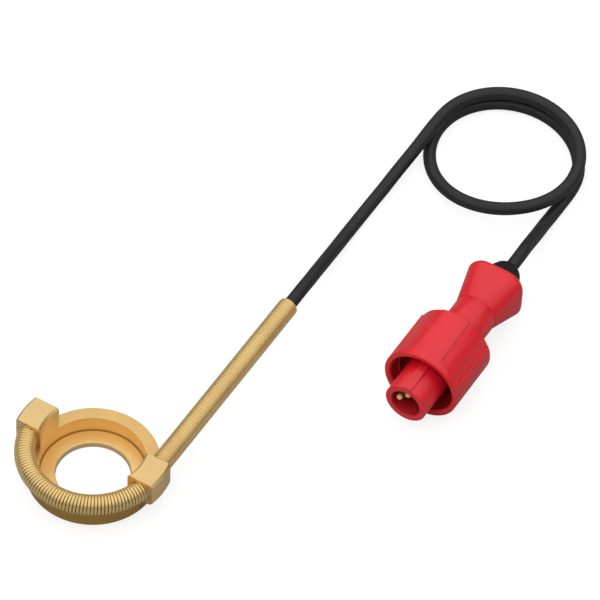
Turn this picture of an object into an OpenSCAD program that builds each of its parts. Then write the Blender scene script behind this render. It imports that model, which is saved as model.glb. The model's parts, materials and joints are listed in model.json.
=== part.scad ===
// Ring probe: brass sensing ring, spring armoured lead, cord with loose loops, keyed two-pin collar plug.
// Frame: origin on the ring's axis at its underside, +Z up, the straight lead runs along +Y.

/* [Ring] */
// Outer diameter of the ring
ring_d = 40; // [39.6:0.1:40.4]
// Height of the ring
ring_h = 7.75; // [7.5:0.05:8]
// Diameter of the hole right through the ring
bore_d = 22.5; // [21:0.1:24]
// Diameter of the flat seat sunk in the top
seat_d = 32.1; // [31.6:0.1:32.3]
// Thickness of the floor under the seat
floor_t = 2.1; // [1.8:0.1:2.6]
// Diameter of the boss under the ring
boss_d = 36; // [34:0.1:37]
// Height of the boss under the ring
boss_h = 2.3; // [2:0.1:2.5]

/* [Lugs] */
// Distance from the ring's axis to a lug's outer face
lug_reach = 24.35; // [24.2:0.05:24.6]
// Length of a lug along the lead
lug_len = 10.1; // [9.8:0.1:10.6]
// Height of a lug above the rim
lug_h = 8.95; // [8.8:0.05:9.4]
// Chamfer along a lug's two curved top edges
lug_chamfer = 0.7; // [0.3:0.1:0.8]
// Chamfer along a lug's lower outer edge
lug_foot = 0.9; // [0.5:0.1:1]

/* [Armour] */
// Outer diameter of the spring armour
armour_d = 6.36; // [6.2:0.02:6.4]
// Diameter of the armour's wire
wire_d = 0.75; // [0.6:0.05:0.75]
// Radius of the armour's arc round the ring
arc_r = 20.2; // [20.1:0.05:20.3]
// Height of the armour's axis above the rim
armour_rise = 4.5; // [4.4:0.05:4.6]
// Distance of the straight lead's axis from the ring's axis
lead_x = 19.4; // [19.3:0.05:19.5]
// Where the straight armour ends, along Y
lead_end = 79.7; // [79.7:0.1:79.8]
// Curls of wire in the arc
arc_curls = 40; // [30:1:40]
// Curls of wire along the straight lead
lead_curls = 60; // [40:1:60]

/* [Cord] */
// Diameter of the cord
cord_d = 4.1; // [4:0.05:4.15]
// Height that the upper loop lies above the lower one
loop_lift = 4.6; // [4.6:0.05:4.8]

/* [Plug] */
// Diameter of the nose and the neck
neck_d = 13.74; // [13.6:0.02:13.8]
// Diameter of the hollow in the nose
nose_bore_d = 9.6; // [9.4:0.1:9.8]
// Depth of the hollow in the nose
nose_depth = 8.5; // [7.5:0.1:9]
// Length from the nose's face to the back shell
neck_len = 42.2; // [41.5:0.1:43]
// Width of the key on the nose
key_w = 3.05; // [2.6:0.05:3.4]
// Height of the key above the nose
key_h = 0.46; // [0.4:0.02:0.6]
// Length of the flaring part of the back shell
flare_len = 11.4; // [10.5:0.1:12]
// Half the width of a flat side where the back shell is widest
shell_flat = 3.17; // [2.8:0.01:3.4]
// Corner radius where the back shell is widest
shell_corner = 6.23; // [6:0.01:6.4]
// Rounding of the back shell's rear edge
shell_round = 2.28; // [1.8:0.01:2.4]

/* [Collar] */
// Outer diameter of the coupling collar
collar_d = 25; // [24.8:0.1:25]
// Diameter of the bore behind the collar's mouth
mouth_d = 21; // [20.9:0.1:21.2]
// Length of the collar
collar_len = 20.74; // [20.5:0.02:21]
// How far the nose stands out in front of the collar
nose_out = 8.76; // [8.2:0.02:9.2]
// Depth of the four recesses between the grip lands
recess_depth = 0.45; // [0.3:0.05:0.5]

/* [Contacts] */
// Diameter of a contact pin
pin_d = 2; // [1.9:0.05:2.1]
// Distance of a pin from the plug's axis
pin_offset = 2.75; // [2.65:0.05:2.85]
// How far the pins' tips lie behind the nose's face
pin_setback = 0.6; // [0.3:0.1:1.2]

/* [Hidden] */
$fn = 96;

// Colours
brass = [0.85, 0.68, 0.42];
spring_brass = [0.88, 0.71, 0.42];
gilt = [0.90, 0.74, 0.45];
steel = [0.62, 0.61, 0.60];
jacket_black = [0.19, 0.19, 0.18];
shell_red = [0.85, 0.20, 0.24];
insulator = [0.35, 0.09, 0.11];
ptfe = [0.92, 0.91, 0.88];
copper = [0.72, 0.42, 0.24];

// Ring and lugs
ring_r = ring_d / 2;
seat_r = seat_d / 2;
edge = 0.12;                              // chamfer on the ring's outer edges
bore_edge = 0.25;                         // chamfer at the top of the ring's bore
relief_w = 0.3;                           // width of the groove at the foot of the seat's wall
relief_t = 0.25;
relief_lean = 0.1;                        // how far the groove's outer side leans in
lug_top = ring_h + lug_h;
half_lug = lug_len / 2;
armour_z = ring_h + armour_rise;
pocket_r = armour_d / 2 + 0.07;           // hole in a lug that takes the armour
pocket_depth = 2.9;                       // how far the armour reaches into a lug
anchor_r = 2.4;                           // radius of the ferrules in the lugs
anchor_gap = 0.35;                        // how far a ferrule stays clear of the armour's pocket

// Armour: path of the wire's centre
coil_r = (armour_d - wire_d) / 2;
curl_rings = 8;
wire_sides = 5;
arc_face = asin(half_lug / arc_r);        // angle from a lug's middle to its face
arc_seat = asin((half_lug - pocket_depth) / arc_r);
arc_start = 180 + arc_seat;
arc_stop = 360 - arc_seat;
wire_inset = (wire_d / 2 + 0.05) / arc_r * 180 / PI;
wire_start = arc_start + wire_inset;      // angles where the wire of the arc begins and ends
wire_stop = arc_stop - wire_inset;
lead_start = half_lug - pocket_depth;
winding_r = 2.2;
core_r = 1.4;

// Cord
cord_r = cord_d / 2;
cord_sides = 8;
loop_rings = 24;                          // rings in one full loop
loop_sides = 8;
loop_turn = 540;                          // one and a half loops
loop_centre = [41.05, 174.65];
loop_rx = 24.05;
loop_ry = 23.6;
loop_skew = 1.1;                          // how far the loops lean along Y
loop_hump = 0.5;                          // extra rise over the strand that leaves
hump_end = 210;                           // where the upper loop starts to come down
floor_start = 335;                        // where it has reached the surface

// Route of the cord from the armour's end to the loops
entry_route = [
    [lead_x, lead_end, armour_z], [lead_x, 83.8, armour_z], [19.2, 88, 11.8], [18.8, 93, 10.7],
    [18.1, 98, 9.1], [17.4, 103, 7.3], [16.7, 108, 5.6], [16.1, 113, 4.1], [15.6, 118, 3],
    [15.3, 123, 2.3], [15.2, 128, cord_r], [15.2, 133, cord_r], [15.3, 138, 2.3], [15.6, 143, 2.9],
    [15.9, 148, 3.8], [16.3, 153, 4.8], [16.7, 158, 5.7], [16.9, 163, 6.3],
    [17, 167.5, cord_r + loop_lift]
];
// Route of the cord from the loops to the plug's boot
tail_route = [
    [65.1, 165.4, cord_r], [65.2, 161, 2.5], [65.5, 156.5, 3.6], [66.1, 152, 5.2], [66.8, 147.5, 7.2],
    [67.5, 143, 9.3], [68.2, 138.7, 11.3], [68.6, 135.6, 12.25]
];

// Plug, measured from the nose's face along its axis
plug_at = [68.7, 65.25, collar_d / 2];
neck_r = neck_d / 2;
collar_r = collar_d / 2;
mouth_r = mouth_d / 2;
body_bore_r = 5.2;
flange_at = 19;
flange_t = 1.4;
flange_r = 10.15;
nose_edge = 0.2;                          // chamfers on the nose's face
spigot_r = 6.1;
spigot_end = 50;
insert_end = 17;
pin_shank_r = pin_d / 2 + 0.25;           // radius of a pin inside the insert
pin_tail = 2;                             // length of a pin's tail behind the insert
collar_rear = nose_out + collar_len;
web_at = 22.5;                            // front of the collar's inner web
run_gap = 0.06;                           // running clearance of the collar on the neck
groove_at = 26;
snap_wire_r = 0.4;
groove_w = 0.9;
collar_groove_r = neck_r + 0.5;           // groove in the collar for the snap ring
collar_groove_w = 1;
band_len = 2.67;                          // plain band in front of the recesses
collar_round = 0.5;                       // rounding of the collar's outer edges
mouth_flare = 0.65;                       // how much wider the mouth is than the bore behind it
mouth_flare_len = 0.75;
washer_wave = 0.75;                       // height of the washer's waves
washer_t = 0.3;
washer_play = 0.02;
washer_in_r = neck_r + 0.4;
washer_out_r = flange_r - 0.15;
rib_h = 0.4;
rib_root = 0.3;                           // how deep a ramp is rooted in the collar's wall
rib_w = 1.5;
rib_tip_w = 0.3;                          // width at the ramp's thin end
rib_tip_turn = 40;                        // length of the thin end in degrees
rib_edge = 0.15;                          // how much narrower a ramp is on its crest
rib_turn = 125;                           // length of one coupling ramp in degrees
rib_start = [-140, 40];
rib_at = 12.1;                            // front of a ramp at its thin end
rib_lead = 0.035;                         // rise of a ramp in mm for each degree
shell_lip = 0.08;                         // step where the shell meets the neck
widest_at = neck_len + flare_len;
shell_end = widest_at + shell_round;
shell_cavity_r = 5.4;
shell_wall_end = 53.2;
boot_hole_r = 5;
boot_start = 51;
boot_foot_r = shell_cavity_r - 0.1;       // foot that the back shell holds
boot_base_r = 6.95;                       // where the boot leaves the back shell
boot_end = 63.5;
boot_dome_r = 4.2;                        // rounding of the boot's free end
boot_dome_mid = [0.7, boot_end - 3.85];
clamp_start = 46;
clamp_tip_r = 4.2;
clamp_taper = 1;
clamp_end = spigot_end - 0.4;
cable_inner_end = 45;
wire_r = 0.6;

// ---- Functions ----

function unit(v) = v / norm(v);

// Direction of a path at one of its points
function heading(path, i) =
    unit(path[min(i + 1, len(path) - 1)] - path[max(i - 1, 0)]);

// Ring of points round a path's point, square to the path and turned to a reference direction
function tube_ring(p, along, ref, r, sides) =
    let (side = unit(cross(along, ref)), up = cross(side, along))
    [for (j = [0:sides - 1]) p + r * (cos(360 * j / sides) * side + sin(360 * j / sides) * up)];

function tube_rings(path, refs, r, sides) =
    [for (i = [0:len(path) - 1]) tube_ring(path[i], heading(path, i), refs[i], r, sides)];

function same_ref(path, ref) = [for (p = path) ref];

// Least distance between a path and its own later turns, less the tube's diameter
function least_gap(path, d, first, last) =
    min([for (i = [0:len(path) - 1 - first])
        min([for (j = [i + first:min(i + last, len(path) - 1)]) norm(path[i] - path[j])])]) - d;

// Rounded square section with flats 2 * flat wide and corners of radius corner
function rounded_square(flat, corner, steps) = [
    for (q = [0:3]) for (i = [0:steps])
        let (a = 90 * (q + i / steps), mid = 90 * q + 45)
        [flat * sign(cos(mid)) + corner * cos(a), flat * sign(sin(mid)) + corner * sin(a)]
];

function at_height(section, z) = [for (p = section) [p[0], p[1], z]];

// Points of an arc in a profile
function arc_points(centre, r, a0, a1, steps) =
    [for (i = [0:steps]) let (a = a0 + (a1 - a0) * i / steps) centre + r * [cos(a), sin(a)]];

// Angles round the ring at which the arc's wire has a ring of points
function arc_angles() =
    let (steps = arc_curls * curl_rings)
    [for (i = [0:steps]) wire_start + (wire_stop - wire_start) * i / steps];

// Centre of the armour's wire in the arc round the ring
function arc_wire() =
    let (angles = arc_angles())
    [for (i = [0:len(angles) - 1])
        let (turn = 360 * i / curl_rings, r = arc_r + coil_r * cos(turn))
        [r * cos(angles[i]), r * sin(angles[i]), armour_z + coil_r * sin(turn)]];

function arc_headings() = [for (a = arc_angles()) [-sin(a), cos(a), 0]];

// Centre of the armour's wire along the straight lead
function lead_wire() =
    let (steps = lead_curls * curl_rings, run = lead_end - lead_start - wire_d)
    [for (i = [0:steps])
        let (turn = 360 * i / curl_rings)
        [lead_x + coil_r * cos(turn), lead_start + wire_d / 2 + run * i / steps,
         armour_z + coil_r * sin(turn)]];

// Height of the loops' centre line: the upper loop lies on the lower one, then comes down
function loop_z(t) =
    let (lift = loop_lift + loop_hump * (1 - cos(min(t, 180))) / 2)
    t <= hump_end ? cord_r + lift :
    t < floor_start ? cord_r + lift * (1 + cos(180 * (t - hump_end) / (floor_start - hump_end))) / 2 :
    cord_r;

function loop_point(t) =
    let (a = 180 - t)
    [loop_centre[0] + loop_rx * cos(a), loop_centre[1] + loop_ry * sin(a) - loop_skew * cos(a), loop_z(t)];

// The loops with a straight end of one diameter at each side
function loop_path() =
    let (steps = loop_rings * loop_turn / 360, back = [0, cord_d, 0])
    concat(
        [loop_point(0) - back],
        [for (i = [0:steps]) loop_point(loop_turn * i / steps)],
        [loop_point(loop_turn) - back]
    );

// ---- Shared shapes ----

// Solid through a list of rings with equal numbers of points, in triangles
module skin(rings, closed = false) {
    m = len(rings[0]);
    n = len(rings);
    bands = closed ? n : n - 1;
    sides = [
        for (i = [0:bands - 1]) for (j = [0:m - 1])
            let (a = i * m + j, b = i * m + (j + 1) % m,
                 c = ((i + 1) % n) * m + (j + 1) % m, d = ((i + 1) % n) * m + j)
            each [[a, c, b], [a, d, c]]
    ];
    caps = closed ? [] : [
        for (j = [1:m - 2]) each [[0, j, j + 1], [(n - 1) * m, (n - 1) * m + j + 1, (n - 1) * m + j]]
    ];
    polyhedron(points = [for (ring = rings) each ring], faces = concat(sides, caps));
}

module tube(path, r, sides) skin(tube_rings(path, same_ref(path, [0, 0, 1]), r, sides));

// Ring sector of a round bar that follows the armour's arc
module arc_bar(r, a0, a1)
    translate([0, 0, armour_z]) rotate([0, 0, a0]) rotate_extrude(angle = a1 - a0)
        translate([arc_r, 0]) circle(r);

// Round bar along Y
module y_bar(x, y0, y1, z, r)
    translate([x, y0, z]) rotate([-90, 0, 0]) cylinder(r = r, h = y1 - y0);

// Puts what is drawn along +Z from the nose's face, with +Y up, where the plug lies
module on_plug() translate(plug_at) rotate([90, 0, 180]) children();

// ---- Ring and lugs ----

module ring_body() color(brass)
    rotate_extrude() polygon([
        [bore_d / 2, 0], [boss_d / 2, 0], [boss_d / 2, boss_h], [ring_r - edge, boss_h],
        [ring_r, boss_h + edge], [ring_r, ring_h - edge], [ring_r - edge, ring_h], [seat_r, ring_h],
        [seat_r, floor_t], [seat_r - relief_lean, floor_t - relief_t],
        [seat_r - relief_w, floor_t - relief_t], [seat_r - relief_w, floor_t],
        [bore_d / 2 + bore_edge, floor_t], [bore_d / 2, floor_t - bore_edge]
    ]);

// Block with curved sides on the rim, on the +X side
module lug_block() intersection() {
    rotate_extrude() polygon([
        [seat_r, ring_h], [lug_reach - lug_foot, ring_h], [lug_reach, ring_h + lug_foot],
        [lug_reach, lug_top - lug_chamfer],
        [lug_reach - lug_chamfer, lug_top], [seat_r + lug_chamfer, lug_top],
        [seat_r, lug_top - lug_chamfer]
    ]);
    translate([0, -half_lug, 0]) cube([lug_reach + 1, lug_len, lug_top + 1]);
}

module lead_lug() color(brass) difference() {
    lug_block();
    arc_bar(pocket_r, 360 - arc_face - 8, 360 - arc_seat);
    y_bar(lead_x, -lead_start - 0.5, lead_start + 0.5, armour_z, anchor_r);
    y_bar(lead_x, lead_start, half_lug + 1, armour_z, pocket_r);
}

module end_lug() color(brass) difference() {
    mirror([1, 0, 0]) lug_block();
    arc_bar(pocket_r, 180 + arc_seat, 180 + arc_face + 8);
    y_bar(-arc_r, -lead_start - 0.5, lead_start, armour_z, anchor_r);
}

module lead_ferrule() color(brass) difference() {
    y_bar(lead_x, -lead_start + anchor_gap, lead_start - anchor_gap, armour_z, anchor_r);
    y_bar(lead_x, -lead_start - 1, lead_start + 1, armour_z, cord_r);
}

module end_ferrule() color(brass)
    y_bar(-arc_r, -lead_start + anchor_gap, lead_start, armour_z, anchor_r);

// ---- Armour and what it holds ----

module ring_spring() {
    path = arc_wire();
    echo("ring_spring least gap", least_gap(path, wire_d, curl_rings / 2, 2 * curl_rings));
    color(spring_brass) skin(tube_rings(path, arc_headings(), wire_d / 2, wire_sides));
}

module lead_spring() {
    path = lead_wire();
    echo("lead_spring least gap", least_gap(path, wire_d, curl_rings / 2, 2 * curl_rings));
    color(spring_brass) skin(tube_rings(path, same_ref(path, [0, 1, 0]), wire_d / 2, wire_sides));
}

module sensing_core() color(ptfe) arc_bar(core_r, arc_start, arc_stop);

module sense_winding() color(copper) difference() {
    arc_bar(winding_r, arc_start, arc_stop);
    arc_bar(core_r, arc_start - 1, arc_stop + 1);
}

module lead_cable() color(jacket_black)
    y_bar(lead_x, -lead_start + anchor_gap, lead_end, armour_z, cord_r);

// ---- Cord ----

module cord_entry() color(jacket_black)
    tube(concat(entry_route, [loop_path()[0]]), cord_r, cord_sides);

module cord_loop() {
    path = loop_path();
    echo("cord_loop least gap", least_gap(path, cord_d, loop_rings / 2, len(path)));
    color(jacket_black) tube(path, cord_r, loop_sides);
}

module cord_tail() {
    path = loop_path();
    boot_mouth = plug_at + [0, boot_end, 0];
    inner_end = plug_at + [0, cable_inner_end, 0];
    color(jacket_black)
        tube(concat([path[len(path) - 1]], tail_route, [boot_mouth, inner_end]), cord_r, cord_sides);
}

// ---- Plug ----

// Nose, flange, neck and spigot in one revolve, with the key along the nose
module plug_body() color(shell_red) on_plug() {
    nose_bore_r = nose_bore_d / 2;
    flange_rear = flange_at + flange_t;
    rotate_extrude() polygon([
        [nose_bore_r + nose_edge, 0], [neck_r - nose_edge, 0], [neck_r, nose_edge],
        [neck_r, flange_at], [flange_r, flange_at], [flange_r, flange_rear], [neck_r, flange_rear],
        [neck_r, groove_at - groove_w / 2], [neck_r - snap_wire_r, groove_at - groove_w / 2],
        [neck_r - snap_wire_r, groove_at + groove_w / 2], [neck_r, groove_at + groove_w / 2],
        [neck_r, neck_len], [spigot_r, neck_len], [spigot_r, spigot_end], [body_bore_r, spigot_end],
        [body_bore_r, nose_depth], [nose_bore_r, nose_depth], [nose_bore_r, nose_edge]
    ]);
    key_len = flange_at + flange_t / 2;
    intersection() {
        translate([-key_w / 2, neck_r - 1, 0]) cube([key_w, 2, key_len]);
        cylinder(r = neck_r + key_h, h = key_len);
    }
}

module collar_blank() rotate_extrude() polygon(concat(
    [[mouth_r, web_at], [mouth_r, nose_out + mouth_flare_len], [mouth_r + mouth_flare, nose_out]],
    arc_points([collar_r - collar_round, nose_out + collar_round], collar_round, -90, 0, 6),
    arc_points([collar_r - collar_round, collar_rear - collar_round], collar_round, 0, 90, 6),
    [[neck_r + run_gap, collar_rear], [neck_r + run_gap, web_at]]
));

// One ramp that draws the collar on to its socket, thin where it starts
module coupling_ramp(start) {
    steps = 25;
    low = mouth_r - rib_h;
    deep = mouth_r + rib_root;
    skin([
        for (i = [0:steps])
            let (turn = rib_turn * i / steps, a = start + turn, out = [-sin(a), cos(a), 0],
                 front = rib_at + rib_lead * turn,
                 w = min(rib_w, rib_tip_w + (rib_w - rib_tip_w) * turn / rib_tip_turn),
                 crest = min(rib_edge, w / 4))
            [low * out + [0, 0, front + crest], low * out + [0, 0, front + w - crest],
             deep * out + [0, 0, front + w], deep * out + [0, 0, front]]
    ]);
}

module coupling_collar() color(shell_red) on_plug() {
    difference() {
        collar_blank();
        for (a = [45:90:315]) rotate([0, 0, a - 22.5]) translate([0, 0, nose_out + band_len])
            rotate_extrude(angle = 45)
                translate([collar_r - recess_depth, 0]) square([1, collar_len]);
        translate([0, 0, groove_at - collar_groove_w / 2])
            cylinder(r = collar_groove_r, h = collar_groove_w);
    }
    for (start = rib_start) coupling_ramp(start);
}

module retaining_ring() color(steel) on_plug()
    translate([0, 0, groove_at]) rotate([0, 0, 15]) rotate_extrude(angle = 330)
        translate([neck_r, 0]) circle(snap_wire_r, $fn = 24);

module wave_washer() color(steel) on_plug() {
    steps = 48;
    mid = flange_at + flange_t + washer_wave + washer_t / 2 + washer_play;
    skin([
        for (i = [0:steps - 1])
            let (a = 360 * i / steps, z = mid + washer_wave * sin(3 * a), out = [cos(a), sin(a), 0],
                 low = z - washer_t / 2, high = z + washer_t / 2)
            [washer_in_r * out + [0, 0, low], washer_out_r * out + [0, 0, low],
             washer_out_r * out + [0, 0, high], washer_in_r * out + [0, 0, high]]
    ], closed = true);
}

module contact_insert() color(insulator) on_plug() difference() {
    translate([0, 0, nose_depth]) cylinder(r = body_bore_r, h = insert_end - nose_depth);
    for (p = [[0, pin_offset], [pin_offset, 0]])
        translate([p[0], p[1], nose_depth - 1]) cylinder(r = pin_shank_r, h = insert_end, $fn = 32);
}

// Round-tipped pin with a thicker shank in the insert and a thin tail for the wire
module contact_pin(p) color(gilt) on_plug() translate([p[0], p[1], 0]) {
    pin_r = pin_d / 2;
    rotate_extrude($fn = 32) polygon(concat(
        arc_points([0, pin_setback + pin_r], pin_r, -90, 0, 6),
        [[pin_r, nose_depth], [pin_shank_r, nose_depth], [pin_shank_r, insert_end],
         [wire_r, insert_end], [wire_r, insert_end + pin_tail], [0, insert_end + pin_tail]]
    ));
}

module contact_pin_top() contact_pin([0, pin_offset]);

module contact_pin_side() contact_pin([pin_offset, 0]);

// Insulated wire from a pin's rear to the cord's core; dir points from the axis to the pin
module conductor(dir) {
    stations = [[pin_offset, insert_end + pin_tail], [pin_offset, 22], [2.5, 27], [1.8, 33],
                [1.1, 38], [0.8, 42], [0.8, cable_inner_end]];
    path = [for (s = stations) [dir[0] * s[0], dir[1] * s[0], s[1]]];
    on_plug() skin(tube_rings(path, same_ref(path, [1, 1, 0]), wire_r, 8));
}

module conductor_top() color([0.75, 0.15, 0.12]) conductor([0, 1]);

module conductor_side() color(ptfe) conductor([1, 0]);

module cable_clamp() color(brass) on_plug() rotate_extrude() polygon([
    [cord_r, clamp_start], [clamp_tip_r, clamp_start], [body_bore_r, clamp_start + clamp_taper],
    [body_bore_r, clamp_end], [cord_r, clamp_end]
]);

module back_shell() color(shell_red) on_plug() difference() {
    steps = 10;
    front_r = neck_r + shell_lip;
    skin(concat(
        [at_height(rounded_square(0.01, front_r, steps), neck_len)],
        [for (b = [0:22.5:90])
            at_height(rounded_square(shell_flat, shell_corner - shell_round * (1 - cos(b)), steps),
                      widest_at + shell_round * sin(b))]
    ));
    translate([0, 0, neck_len - 1]) cylinder(r = spigot_r, h = spigot_end - neck_len + 1);
    translate([0, 0, neck_len]) cylinder(r = shell_cavity_r, h = shell_wall_end - neck_len);
    translate([0, 0, neck_len]) cylinder(r = boot_hole_r, h = flare_len + 5);
}

// Strain relief: a foot inside the back shell, then a cone with a domed end
module cable_boot() color(jacket_black) on_plug() rotate_extrude() polygon(concat(
    [[cord_r, boot_start], [boot_foot_r, boot_start], [boot_foot_r, shell_wall_end],
     [boot_hole_r, shell_wall_end], [boot_hole_r, shell_end], [boot_base_r, shell_end]],
    arc_points(boot_dome_mid, boot_dome_r, 23, 65, 6),
    [[cord_r, boot_end]]
));

ring_body();
end_lug();
lead_lug();
ring_spring();
lead_spring();
sensing_core();
sense_winding();
end_ferrule();
lead_ferrule();
lead_cable();
cord_entry();
cord_loop();
cord_tail();
cable_boot();
cable_clamp();
back_shell();
plug_body();
coupling_collar();
wave_washer();
retaining_ring();
contact_insert();
contact_pin_top();
contact_pin_side();
conductor_top();
conductor_side();
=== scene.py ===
import json
import math

import bpy
import numpy as np
from mathutils import Matrix, Vector


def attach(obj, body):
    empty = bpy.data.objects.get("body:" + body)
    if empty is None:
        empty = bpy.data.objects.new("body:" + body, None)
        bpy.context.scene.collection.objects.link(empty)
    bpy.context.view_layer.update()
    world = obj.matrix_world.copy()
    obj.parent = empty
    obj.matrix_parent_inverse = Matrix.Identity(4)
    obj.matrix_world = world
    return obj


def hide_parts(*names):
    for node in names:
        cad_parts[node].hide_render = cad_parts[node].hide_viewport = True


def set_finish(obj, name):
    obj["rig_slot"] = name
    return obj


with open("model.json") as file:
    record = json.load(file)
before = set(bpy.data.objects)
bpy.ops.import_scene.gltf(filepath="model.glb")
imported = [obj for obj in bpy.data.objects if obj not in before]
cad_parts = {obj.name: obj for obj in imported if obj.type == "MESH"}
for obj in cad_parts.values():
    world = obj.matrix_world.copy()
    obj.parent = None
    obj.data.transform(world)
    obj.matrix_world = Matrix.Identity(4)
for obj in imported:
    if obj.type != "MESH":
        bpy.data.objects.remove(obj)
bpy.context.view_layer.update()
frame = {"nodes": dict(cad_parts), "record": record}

MM = 0.001

# Sizes repeated from the part's source, in millimetres
ARMOUR_Z, LEAD_X, LEAD_END = 12.25, 19.4, 79.7
ARC_R, COIL_R, WIRE_R = 20.2, 2.805, 0.375
CORD_R, LOOP_LIFT, LOOP_HUMP = 2.05, 4.6, 0.5
LOOP_X, LOOP_Y, LOOP_RX, LOOP_RY, LOOP_SLANT = 41.05, 174.65, 24.05, 23.6, 1.1
PLUG_AT = np.array([68.7, 65.25, 12.5])
CORD_IN_PLUG = (63.5, 55, 45)     # behind the nose's face: the boot's end, and on to the cord's end


# ---- Camera ----

AZIMUTH, ELEVATION, ROLL = 0.5060167, 0.8690298, 0.0516601      # radians
CAMERA_AT = [0.486489, -0.756712, 1.148028]                     # metres
LENS, SENSOR = 293.89, 36                                       # millimetres
CLIP_NEAR, CLIP_FAR = 0.1, 20                                   # metres


def make_camera():
    """The photograph's view: a long lens, turned 29 degrees round the ring and 50 degrees up."""
    right = np.array([math.cos(AZIMUTH), math.sin(AZIMUTH), 0])
    ahead = np.array([-math.sin(AZIMUTH), math.cos(AZIMUTH), 0])
    up = ahead * math.sin(ELEVATION) + np.array([0, 0, math.cos(ELEVATION)])
    back = -ahead * math.cos(ELEVATION) + np.array([0, 0, math.sin(ELEVATION)])
    side = right * math.cos(ROLL) + up * math.sin(ROLL)
    top = -right * math.sin(ROLL) + up * math.cos(ROLL)
    camera = bpy.data.objects.new("camera", bpy.data.cameras.new("camera"))
    camera.data.lens = LENS
    camera.data.sensor_width = SENSOR
    camera.data.clip_start, camera.data.clip_end = CLIP_NEAR, CLIP_FAR
    place = Matrix([[side[i], top[i], back[i], 0] for i in range(3)] + [[0, 0, 0, 1]])
    place.translation = CAMERA_AT
    camera.matrix_world = place
    bpy.context.scene.collection.objects.link(camera)
    bpy.context.scene.camera = camera


make_camera()


# ---- Mesh tools ----

def add_mesh(name, points, faces, smooth=True):
    """points are in millimetres."""
    mesh = bpy.data.meshes.new(name)
    mesh.from_pydata((np.asarray(points) * MM).tolist(), [], faces)
    mesh.validate()
    if smooth:
        mesh.polygons.foreach_set("use_smooth", [True] * len(mesh.polygons))
    mesh.update()
    obj = bpy.data.objects.new(name, mesh)
    bpy.context.scene.collection.objects.link(obj)
    return obj


def loft(name, rings):
    """A surface through rings of points, each an array of the same length, closed at both ends."""
    count, sides = len(rings), len(rings[0])
    faces = []
    for i in range(count - 1):
        a, b = i * sides, (i + 1) * sides
        for j in range(sides):
            k = (j + 1) % sides
            faces.append((a + j, b + j, b + k, a + k))
    first, last = range(sides), range((count - 1) * sides, count * sides)
    faces += [tuple(first), tuple(last)[::-1]]
    return add_mesh(name, np.concatenate(rings), faces)


def frames_along(path, refs):
    """For each point of a path, the two directions square to it."""
    along = np.gradient(path, axis=0)
    along /= np.linalg.norm(along, axis=1)[:, None]
    side = np.cross(along, refs)
    side /= np.linalg.norm(side, axis=1)[:, None]
    return side, np.cross(side, along)


def tube(name, path, refs, radius, sides, widen=1.0):
    """widen is how much wider the section is along refs than across."""
    path = np.asarray(path, float)
    refs = np.broadcast_to(np.asarray(refs, float), path.shape)
    side, up = frames_along(path, refs)
    a = np.linspace(0, 2 * math.pi, sides, endpoint=False)
    wheel = np.cos(a)[:, None] * side[:, None, :] + widen * np.sin(a)[:, None] * up[:, None, :]
    return loft(name, path[:, None, :] + radius * wheel)


def spline(points, step):
    """Natural cubic spline through the points, as points about step apart."""
    points = np.asarray(points, float)
    t = np.concatenate([[0], np.cumsum(np.linalg.norm(np.diff(points, axis=0), axis=1))])
    h = np.diff(t)
    n = len(points)
    system, target = np.eye(n), np.zeros((n, 3))
    slope = np.diff(points, axis=0) / h[:, None]
    for i in range(1, n - 1):
        system[i, i - 1:i + 2] = h[i - 1], 2 * (h[i - 1] + h[i]), h[i]
        target[i] = 6 * (slope[i] - slope[i - 1])
    bend = np.linalg.solve(system, target)
    s = np.linspace(0, t[-1], int(t[-1] / step) + 1)
    k = np.clip(np.searchsorted(t, s, side="right") - 1, 0, n - 2)
    u, v, w = s - t[k], t[k + 1] - s, h[k]
    u, v, w = u[:, None], v[:, None], w[:, None]
    return ((bend[k] * v ** 3 + bend[k + 1] * u ** 3) / (6 * w)
            + (points[k] / w - bend[k] * w / 6) * v
            + (points[k + 1] / w - bend[k + 1] * w / 6) * u)


# ---- Cord ----

CORD_STEP, CORD_SIDES = 0.8, 28
LOOP_POINT_EVERY, LOOP_TURN = 15, 540          # degrees
FALL_FROM, FALL_TO = 210, 335                  # where the upper loop comes down, in degrees

ENTRY_ROUTE = [
    (LEAD_X, LEAD_END, ARMOUR_Z), (LEAD_X, 83.8, ARMOUR_Z), (19.2, 88, 11.8), (18.8, 93, 10.7),
    (18.1, 98, 9.1), (17.4, 103, 7.3), (16.7, 108, 5.6), (16.1, 113, 4.1), (15.6, 118, 3),
    (15.3, 123, 2.3), (15.2, 128, CORD_R), (15.2, 133, CORD_R), (15.3, 138, 2.3), (15.6, 143, 2.9),
    (15.9, 148, 3.8), (16.3, 153, 4.8), (16.7, 158, 5.7), (16.9, 163, 6.3),
]
TAIL_ROUTE = [
    (65.1, 165.4, CORD_R), (65.2, 161, 2.5), (65.5, 156.5, 3.6), (66.1, 152, 5.2),
    (66.8, 147.5, 7.2), (67.5, 143, 9.3), (68.2, 138.7, 11.3), (68.6, 135.6, 12.25),
]


def loop_point(t):
    """A point t degrees along one and a half loops: the upper one lies on the lower one, then
    comes down to the surface."""
    a = math.radians(180 - t)
    lift = LOOP_LIFT + LOOP_HUMP / 2 * (1 - math.cos(math.radians(min(t, 180))))
    if t <= FALL_FROM:
        z = CORD_R + lift
    elif t < FALL_TO:
        z = CORD_R + lift * (1 + math.cos(math.pi * (t - FALL_FROM) / (FALL_TO - FALL_FROM))) / 2
    else:
        z = CORD_R
    return (LOOP_X + LOOP_RX * math.cos(a),
            LOOP_Y + LOOP_RY * math.sin(a) - LOOP_SLANT * math.cos(a), z)


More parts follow.
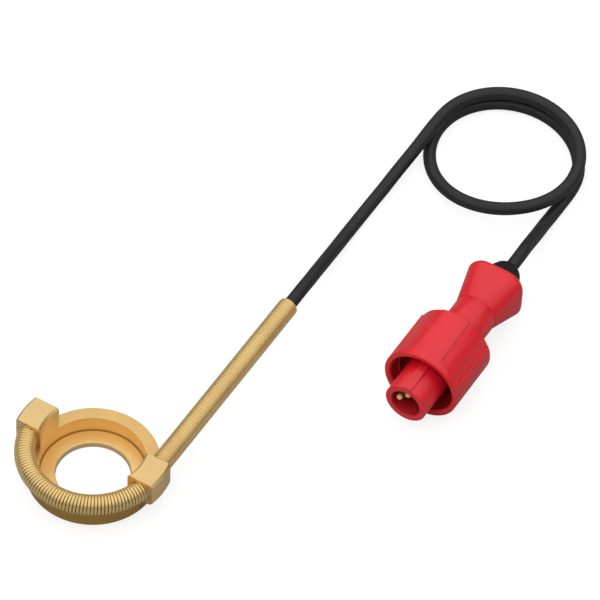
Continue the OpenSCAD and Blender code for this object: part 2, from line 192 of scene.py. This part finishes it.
def make_cord():
    loops = [loop_point(t) for t in range(0, LOOP_TURN + 1, LOOP_POINT_EVERY)]
    inside = [tuple(PLUG_AT + [0, back, 0]) for back in CORD_IN_PLUG]
    path = spline(ENTRY_ROUTE + loops + TAIL_ROUTE + inside, CORD_STEP)
    path[:, 2] = np.maximum(path[:, 2], CORD_R)
    cord = tube("cord", path, (0, 0, 1), CORD_R, CORD_SIDES)
    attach(cord, "probe")
    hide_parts("cord_entry", "cord_loop", "cord_tail")
    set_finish(cord, "jacket")
    return cord


cord = make_cord()


# ---- Spring armour ----

STEPS_PER_TURN = 20
ARC_TURNS, ARC_FROM, ARC_TO = 62, 187.3, 352.7                  # angles in degrees
ARC_SIDES, ARC_WIDEN = 12, 1.18
LEAD_FROM, LEAD_PITCH, LEAD_WIRE_R, LEAD_SIDES = 2.6, 0.778, 0.384, 10
LAST_TURN, TUCK = 0.9, 0.3            # the lead's last 0.9 of a turn closes in by TUCK millimetres


def arc_armour():
    steps = ARC_TURNS * STEPS_PER_TURN
    a = np.radians(np.linspace(ARC_FROM, ARC_TO, steps + 1))
    turn = np.linspace(0, 2 * math.pi * ARC_TURNS, steps + 1)
    r = ARC_R + COIL_R * np.cos(turn)
    path = np.stack([r * np.cos(a), r * np.sin(a), ARMOUR_Z + COIL_R * np.sin(turn)], 1)
    refs = np.stack([-np.sin(a), np.cos(a), 0 * a], 1)
    wire = tube("ring_armour", path, refs, WIRE_R, ARC_SIDES, widen=ARC_WIDEN)
    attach(wire, "probe")
    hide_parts("ring_spring")
    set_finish(wire, "spring_brass")
    return wire


def lead_armour():
    last = LEAD_END - LEAD_WIRE_R
    turns = (last - LEAD_FROM) / LEAD_PITCH
    steps = int(turns * STEPS_PER_TURN)
    turn = np.linspace(0, 2 * math.pi * turns, steps + 1)
    y = np.linspace(LEAD_FROM, last, steps + 1)
    near_end = np.clip(1 - (last - y) / (LAST_TURN * LEAD_PITCH), 0, 1)
    r = COIL_R + WIRE_R - LEAD_WIRE_R - TUCK * near_end ** 2
    path = np.stack([LEAD_X + r * np.cos(turn), y, ARMOUR_Z + r * np.sin(turn)], 1)
    wire = tube("lead_armour", path, (0, 1, 0), LEAD_WIRE_R, LEAD_SIDES)
    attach(wire, "probe")
    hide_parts("lead_spring")
    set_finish(wire, "spring_brass")
    return wire


ring_wire = arc_armour()
lead_wire = lead_armour()


# ---- Materials ----

NOISE_LOW, NOISE_HIGH = 0.3, 0.7                   # the part of a noise's range that is used
CLOUDS, SMEARS, GRAIN = (108, 4), (360, 3), (2700, 2)           # noise scale per metre, detail
GLOSS_SPREAD, COAT_ROUGHNESS, RELIEF_STRENGTH = 0.04, 0.3, 0.5


def blend_range(tree, value, start, end, low, high):
    """low where value is start or less, high where it is end or more, and a blend between."""
    ramp = tree.nodes.new("ShaderNodeMapRange")
    for socket, amount in (("From Min", start), ("From Max", end),
                           ("To Min", low), ("To Max", high)):
        ramp.inputs[socket].default_value = amount
    tree.links.new(value, ramp.inputs["Value"])
    return ramp.outputs["Result"]


def vector_math(tree, operation, value, other=None):
    """other is a constant; LENGTH takes none and gives a number."""
    made = tree.nodes.new("ShaderNodeVectorMath")
    made.operation = operation
    tree.links.new(value, made.inputs[0])
    if other is not None:
        made.inputs[1].default_value = other
    return made.outputs["Value" if operation == "LENGTH" else 0]


def split(tree, vector):
    apart = tree.nodes.new("ShaderNodeSeparateXYZ")
    tree.links.new(vector, apart.inputs[0])
    return apart.outputs


def noise(tree, size_and_detail, vector):
    """A noise texture's value, from 0 to 1."""
    made = tree.nodes.new("ShaderNodeTexNoise")
    made.inputs["Scale"].default_value, made.inputs["Detail"].default_value = size_and_detail
    tree.links.new(vector, made.inputs["Vector"])
    return made.outputs["Fac"]


def round_the_axis(tree, place):
    """Coordinates that are the same all the way round the Z axis: the distance from it, and Z."""
    xyz = split(tree, place)
    rings = tree.nodes.new("ShaderNodeCombineXYZ")
    tree.links.new(vector_math(tree, "LENGTH", vector_math(tree, "MULTIPLY", place, (1, 1, 0))),
                   rings.inputs["X"])
    tree.links.new(xyz["Z"], rings.inputs["Y"])
    return rings.outputs[0]


# Used here to paint shade and reflection onto parts, by the distance from an axis.
def tinted(tree, place, tone, point, across, stops, fade=None):
    """tone times a tint that goes by the distance from an axis: a point on it, the directions
    square to it, and (distance, tint) pairs. fade is where along Y the tint starts to fade and
    where it ends. Lengths are in millimetres."""
    away = vector_math(tree, "SUBTRACT", place, [c * MM for c in point])
    distance = vector_math(tree, "LENGTH", vector_math(tree, "MULTIPLY", away, across))
    reach = stops[-1][0]
    bands = tree.nodes.new("ShaderNodeValToRGB")
    tree.links.new(blend_range(tree, distance, 0, reach * MM, 0, 1), bands.inputs["Fac"])
    keys = bands.color_ramp.elements
    keys.remove(keys[1])
    for i, (at, tint) in enumerate(stops):
        key = keys.new(at / reach) if i else keys[0]
        key.position = at / reach
        key.color = (*tint, 1)
    mix = tree.nodes.new("ShaderNodeMix")
    mix.data_type, mix.blend_type = "RGBA", "MULTIPLY"
    mix.inputs["Factor"].default_value = 1
    if fade:
        start, end = fade
        tree.links.new(blend_range(tree, split(tree, place)["Y"], start * MM, end * MM, 1, 0),
                       mix.inputs["Factor"])
    tree.links.new(tone, mix.inputs["A"])
    tree.links.new(bands.outputs["Color"], mix.inputs["B"])
    return mix.outputs["Result"]


def shader(name, color, roughness, metallic=0.0, variation=0.06, bump=0.02, turned=False,
           shine=0.5, lacquer=0.0, tints=None):
    """Principled shader with cloudy colour, uneven gloss and a fine surface relief, bump
    millimetres high. A turned surface has its relief in rings round the Z axis. tints is what
    tinted() takes."""
    m = bpy.data.materials.new(name)
    m.use_nodes = True
    t = m.node_tree
    b = t.nodes["Principled BSDF"]
    b.inputs["Metallic"].default_value = metallic
    b.inputs["Specular IOR Level"].default_value = shine
    b.inputs["Coat Weight"].default_value = lacquer
    b.inputs["Coat Roughness"].default_value = COAT_ROUGHNESS
    place = t.nodes.new("ShaderNodeTexCoord").outputs["Object"]

    ramp = t.nodes.new("ShaderNodeValToRGB")
    dark, light = ramp.color_ramp.elements
    dark.position, light.position = NOISE_LOW, NOISE_HIGH
    dark.color = [c * (1 - variation) for c in color] + [1]
    light.color = [min(1, c * (1 + variation)) for c in color] + [1]
    t.links.new(noise(t, CLOUDS, place), ramp.inputs["Fac"])
    tone = ramp.outputs["Color"]
    if tints:
        tone = tinted(t, place, tone, *tints)
    t.links.new(tone, b.inputs["Base Color"])

    uneven = blend_range(t, noise(t, SMEARS, place), NOISE_LOW, NOISE_HIGH,
                         roughness - GLOSS_SPREAD, roughness + GLOSS_SPREAD)
    t.links.new(uneven, b.inputs["Roughness"])

    relief = t.nodes.new("ShaderNodeBump")
    relief.inputs["Strength"].default_value = RELIEF_STRENGTH
    relief.inputs["Distance"].default_value = bump * MM
    marks = round_the_axis(t, place) if turned else place
    t.links.new(noise(t, GRAIN, marks), relief.inputs["Height"])
    t.links.new(relief.outputs["Normal"], b.inputs["Normal"])
    return m


# Tints of the turned ring, by the distance from its axis: the bore, greyer and bluer as a painted
# reflection;
# the floor and the wall of the seat with painted shade in the groove between them; the rim, a
# little darker and greyer; and the outer wall, darkened as painted shade
PLAIN, BORE_PAINTED_REFLECTION, GROOVE_PAINTED_SHADE = (1, 1, 1), (0.95, 1.05, 1.45), (0.52, 0.43, 0.28)
RIM, OUTER_WALL_PAINTED_SHADE = (0.89, 0.83, 0.77), (0.62, 0.53, 0.33)
RING_TINTS = ((0, 0, 0), (1, 1, 0), [
    (11.25, BORE_PAINTED_REFLECTION), (11.5, PLAIN), (15.6, PLAIN), (15.75, GROOVE_PAINTED_SHADE), (15.95, GROOVE_PAINTED_SHADE), (16, PLAIN),
    (16.08, PLAIN), (16.2, RIM), (19.75, RIM), (19.95, OUTER_WALL_PAINTED_SHADE)])
# Painted shade: the inside of the nose and of the collar's mouth darkened by the distance from the
# plug's axis, and the pins' shafts darkened by the distance behind the nose's face
NOSE_PAINTED_SHADE, MOUTH_PAINTED_SHADE, SHAFT_PAINTED_SHADE = (0.65, 1.4, 1.0), (0.5, 1.3, 0.9), (0.3, 0.2, 0.17)
MOUTH_SHADE_FADE = (88, 93)
NOSE_TINTS = (PLUG_AT, (1, 0, 1), [(4.9, NOSE_PAINTED_SHADE), (5.1, PLAIN), (15, PLAIN)])
MOUTH_TINTS = (PLUG_AT, (1, 0, 1), [(10.5, MOUTH_PAINTED_SHADE), (10.8, PLAIN), (15, PLAIN)], MOUTH_SHADE_FADE)
# The pins' shafts are darkened as painted shade, from a little behind their tips.
PIN_TINTS = (PLUG_AT, (0, 1, 0), [(1.3, PLAIN), (2.1, SHAFT_PAINTED_SHADE), (20, SHAFT_PAINTED_SHADE)])
RED = (0.77, 0.010, 0.020)

materials = {
    "brass": shader("brass_turned", (0.99, 0.65, 0.26), 0.33, 0.72, turned=True, bump=0.05,
                    tints=RING_TINTS),
    "lug_brass": shader("brass_milled", (0.98, 0.67, 0.29), 0.33, 0.92, variation=0.03,
                        lacquer=0.4, bump=0.05),
    "spring_brass": shader("spring_wire", (1.0, 0.71, 0.30), 0.34, 0.8, lacquer=0.4),
    "ptfe": shader("white_insulation", (0.83, 0.82, 0.78), 0.5),
    "copper": shader("enamelled_winding", (0.30, 0.12, 0.05), 0.4, 0.6),
    "jacket": shader("cord_jacket", (0.013, 0.013, 0.013), 0.5),
    "boot": shader("boot_rubber", (0.008, 0.008, 0.008), 0.6, shine=0.28),
    "shell_red": shader("red_shell", RED, 0.33, shine=0.62, tints=NOSE_TINTS),
    "collar_red": shader("red_collar", RED, 0.33, shine=0.62, tints=MOUTH_TINTS),
    "steel": shader("spring_steel", (0.45, 0.44, 0.43), 0.3, 1.0),
    "insulator": shader("dark_insert", (0.10, 0.004, 0.006), 0.5),
    "gilt": shader("gilt_contact", (1.0, 0.68, 0.26), 0.25, 0.3, shine=1.0, lacquer=0.3,
                   tints=PIN_TINTS),
    "wire_red": shader("red_insulation", (0.5, 0.02, 0.015), 0.5),
}


def paint(obj, slot):
    obj.data.materials.clear()
    obj.data.materials.append(materials[slot])
    obj.data.polygons.foreach_set("material_index", [0] * len(obj.data.polygons))


for piece in (cord, ring_wire, lead_wire):
    paint(piece, piece["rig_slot"])
for row in frame["record"]["subparts"]:
    paint(frame["nodes"][row["node"]], row["material_slot"])


# ---- Worn edges ----

MERGE = 0.001              # millimetres; the CAD's faces don't share their corners
BEVEL_SEGMENTS = 2
SHARP, SHARP_ON_SHELL = 40, 30       # degrees


def soften(node, width, angle=SHARP, uneven=False):
    """Rounds a node's sharp edges with modifiers, so that they catch the light. An uneven mesh,
    with very short edges, gets a width that these allow, and normals weighted by face size."""
    obj = frame["nodes"][node]
    obj.modifiers.new("weld", "WELD").merge_threshold = MERGE * MM
    bevel = obj.modifiers.new("bevel", "BEVEL")
    bevel.limit_method = "ANGLE"
    bevel.angle_limit = math.radians(angle)
    bevel.width = width * MM
    bevel.segments = BEVEL_SEGMENTS
    bevel.use_clamp_overlap = uneven
    bevel.harden_normals = not uneven
    if uneven:
        obj.modifiers.new("shade", "WEIGHTED_NORMAL").mode = "FACE_AREA_WITH_ANGLE"


soften("coupling_collar", 0.07)
soften("plug_body", 0.05)
soften("back_shell", 0.15, angle=SHARP_ON_SHELL)
for name in ("end_lug", "lead_lug"):
    soften(name, 0.12, uneven=True)


# ---- Floor, world and lights ----

FLOOR_HALF, FLOOR_DROP = 1500, 0.02                          # millimetres
FLOOR_DIFFUSE, FLOOR_SEEN, FLOOR_GLOW = 0.4, 0.3, 0.8
FLOOR_GLOSS, FAR_FLOOR = 0.35, 0.05        # what gloss shows of the floor, near by and far out
NEAR_TO, FAR_FROM = 0.25, 0.8              # metres from the origin
SKY_DIFFUSE, SKY_SEEN = 0.45, 1
LOW_SKY, SKY_GLOSS = 0.07, 0.84            # what gloss shows of the sky, low down and higher up
LOW_TO, UP_FROM = 0.3, 0.46                # sines of the angle above the horizon
COOL, NEAR_WHITE, WHITE = (0.95, 0.97, 1), (0.98, 0.99, 1), (1, 1, 1)


def path_mix(tree, plain, gloss, seen):
    """plain for light that falls on the object, gloss for what its gloss shows, and seen for what
    the camera or a clear surface shows."""
    path = tree.nodes.new("ShaderNodeLightPath")
    direct = tree.nodes.new("ShaderNodeMath")
    direct.operation = "MAXIMUM"
    tree.links.new(path.outputs["Is Camera Ray"], direct.inputs[0])
    tree.links.new(path.outputs["Is Transmission Ray"], direct.inputs[1])
    out = plain
    for share, shown in ((path.outputs["Is Glossy Ray"], gloss), (direct.outputs[0], seen)):
        mix = tree.nodes.new("ShaderNodeMixShader")
        tree.links.new(share, mix.inputs["Fac"])
        tree.links.new(out, mix.inputs[1])
        tree.links.new(shown, mix.inputs[2])
        out = mix.outputs[0]
    return out


def make_floor():
    h = FLOOR_HALF
    floor = add_mesh("floor", [(-h, -h, 0), (h, -h, 0), (h, h, 0), (-h, h, 0)], [(0, 1, 2, 3)],
                     smooth=False)
    floor.location.z = -FLOOR_DROP * MM
    m = bpy.data.materials.new("floor_paint")
    m.use_nodes = True
    t = m.node_tree
    t.nodes.remove(t.nodes["Principled BSDF"])

    def matt(grey):
        paper = t.nodes.new("ShaderNodeBsdfDiffuse")
        paper.inputs["Color"].default_value = (grey, grey, grey, 1)
        return paper

    light = t.nodes.new("ShaderNodeEmission")
    light.inputs["Strength"].default_value = FLOOR_GLOW
    seen = t.nodes.new("ShaderNodeAddShader")
    t.links.new(matt(FLOOR_SEEN).outputs[0], seen.inputs[0])
    t.links.new(light.outputs[0], seen.inputs[1])
    place = t.nodes.new("ShaderNodeTexCoord").outputs["Object"]
    glossy = matt(FLOOR_GLOSS)
    t.links.new(blend_range(t, vector_math(t, "LENGTH", place), NEAR_TO, FAR_FROM,
                            FLOOR_GLOSS, FAR_FLOOR), glossy.inputs["Color"])
    out = path_mix(t, matt(FLOOR_DIFFUSE).outputs[0], glossy.outputs[0], seen.outputs[0])
    t.links.new(out, t.nodes["Material Output"].inputs["Surface"])
    floor.data.materials.append(m)


def make_world():
    world = bpy.context.scene.world or bpy.data.worlds.new("world")
    bpy.context.scene.world = world
    world.use_nodes = True
    t = world.node_tree

    def sky(strength, color):
        light = t.nodes.new("ShaderNodeBackground")
        light.inputs["Color"].default_value = (*color, 1)
        light.inputs["Strength"].default_value = strength
        return light

    height = split(t, t.nodes.new("ShaderNodeTexCoord").outputs["Generated"])["Z"]
    glossy = sky(SKY_GLOSS, NEAR_WHITE)
    t.links.new(blend_range(t, height, LOW_TO, UP_FROM, LOW_SKY, SKY_GLOSS),
                glossy.inputs["Strength"])
    out = path_mix(t, sky(SKY_DIFFUSE, COOL).outputs[0], glossy.outputs[0],
                   sky(SKY_SEEN, WHITE).outputs[0])
    t.links.new(out, t.nodes["World Output"].inputs["Surface"])


def lamp(name, place, aim, size, watts):
    """A square lamp that gloss doesn't show."""
    data = bpy.data.lights.new(name, "AREA")
    data.shape, data.size, data.energy = "SQUARE", size, watts
    obj = bpy.data.objects.new(name, data)
    bpy.context.scene.collection.objects.link(obj)
    obj.visible_glossy = False
    obj.location = place
    obj.rotation_mode = "QUATERNION"
    obj.rotation_quaternion = (Vector(aim) - Vector(place)).to_track_quat("-Z", "Y")


make_floor()
make_world()
lamp("overhead", (0.0, 0.25, 1.05), aim=(0.02, 0.08, 0), size=1.6, watts=8.3)
lamp("front", (-0.15, -0.75, 0.95), aim=(0.03, 0.06, 0), size=0.9, watts=4.3)
bpy.context.scene.view_settings.view_transform = "Standard"
